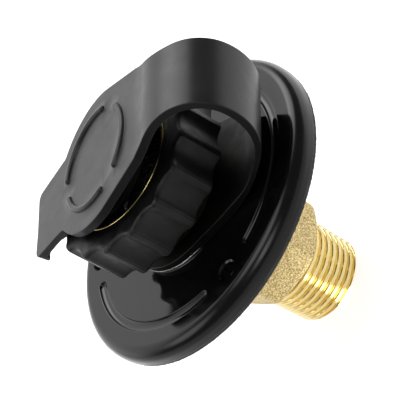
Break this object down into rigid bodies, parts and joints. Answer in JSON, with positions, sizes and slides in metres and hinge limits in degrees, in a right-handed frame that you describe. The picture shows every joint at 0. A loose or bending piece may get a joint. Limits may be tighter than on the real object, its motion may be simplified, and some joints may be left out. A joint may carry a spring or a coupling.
{
  "type": "pressure water hose inlet",
  "caption": "Round flanged water inlet with a swivelling scalloped hose collar, a flexible strap cap that folds over the mouth and a brass check-valve body with a male pipe thread.",
  "frame": {"origin": "on the fitting's axis, in the mounting plane behind the gasket, which is also the plane of the screw pattern", "axes": "+Z along the axis, out of the hull towards the hose; +X towards the bend of the cap's strap; +Y completes the right-handed frame"},
  "size_m": [0.077, 0.0756, 0.0757],
  "materials": {
    "flange_plastic": "gloss",
    "gasket_rubber": "matt",
    "cast_brass": "sand-cast, threads machined",
    "collar_plastic": "fine matt texture",
    "turned_brass": "machined",
    "spring_steel": "satin",
    "seal_rubber": "smooth",
    "washer_rubber": "smooth",
    "stainless_steel": "satin",
    "white_plastic": "satin",
    "cap_rubber": "satin"
  },
  "bodies": {
    "fitting": {"flange": "flange_plastic", "flange_gasket": "gasket_rubber", "valve_body": "cast_brass", "body_circlip": "spring_steel", "body_oring": "seal_rubber", "swivel_ring": "spring_steel", "valve_guide": "white_plastic", "guide_clip": "spring_steel", "poppet_spring": "stainless_steel"},
    "swivel": {"collar": "collar_plastic", "hose_insert": "turned_brass", "hose_washer": "washer_rubber", "screen_rim": "stainless_steel", "inlet_screen": "stainless_steel"},
    "poppet": {"poppet": "white_plastic", "poppet_seal": "seal_rubber"},
    "cap_base": {"cap_ring": "cap_rubber"},
    "strap_bend": {"cap_strap_bend": "cap_rubber"},
    "strap_top": {"cap_strap_top": "cap_rubber"},
    "lid": {"cap_lid": "cap_rubber"}
  },
  "joints": [
    {"name": "collar_spin", "type": "hinge", "parent": "fitting", "child": "swivel", "pos_m": [0, 0, 0.0113], "axis": [0, 0, 1], "continuous": true},
    {"name": "poppet_slide", "type": "slide", "parent": "fitting", "child": "poppet", "axis": [0, 0, -1], "range_m": [0, 0.0045], "stiffness_N_per_m": 150, "springref_m": -0.004, "deforming": ["poppet_spring"]},
    {"name": "cap_swivel", "type": "hinge", "parent": "fitting", "child": "cap_base", "pos_m": [0, 0, 0.007], "axis": [0, 0, 1], "continuous": true},
    {"name": "cap_swing", "type": "hinge", "parent": "cap_base", "child": "strap_bend", "pos_m": [0.032, 0, 0.0106], "axis": [0, 1, 0], "range_deg": [0, 75], "stiffness_Nm_per_rad": 0.02},
    {"name": "strap_fold", "type": "hinge", "parent": "strap_bend", "child": "strap_top", "pos_m": [0.036, 0, 0.03567], "axis": [0, 1, 0], "range_deg": [-20.8, 0], "stiffness_Nm_per_rad": 0.05},
    {"name": "lid_fold", "type": "hinge", "parent": "strap_top", "child": "lid", "pos_m": [0.017, 0, 0.0349], "axis": [0, 1, 0], "range_deg": [0, 31.2], "stiffness_Nm_per_rad": 0.02}
  ],
  "couplings": [
    {"joint": "lid_fold", "follows": "strap_fold", "ratio": -1.5}
  ]
}
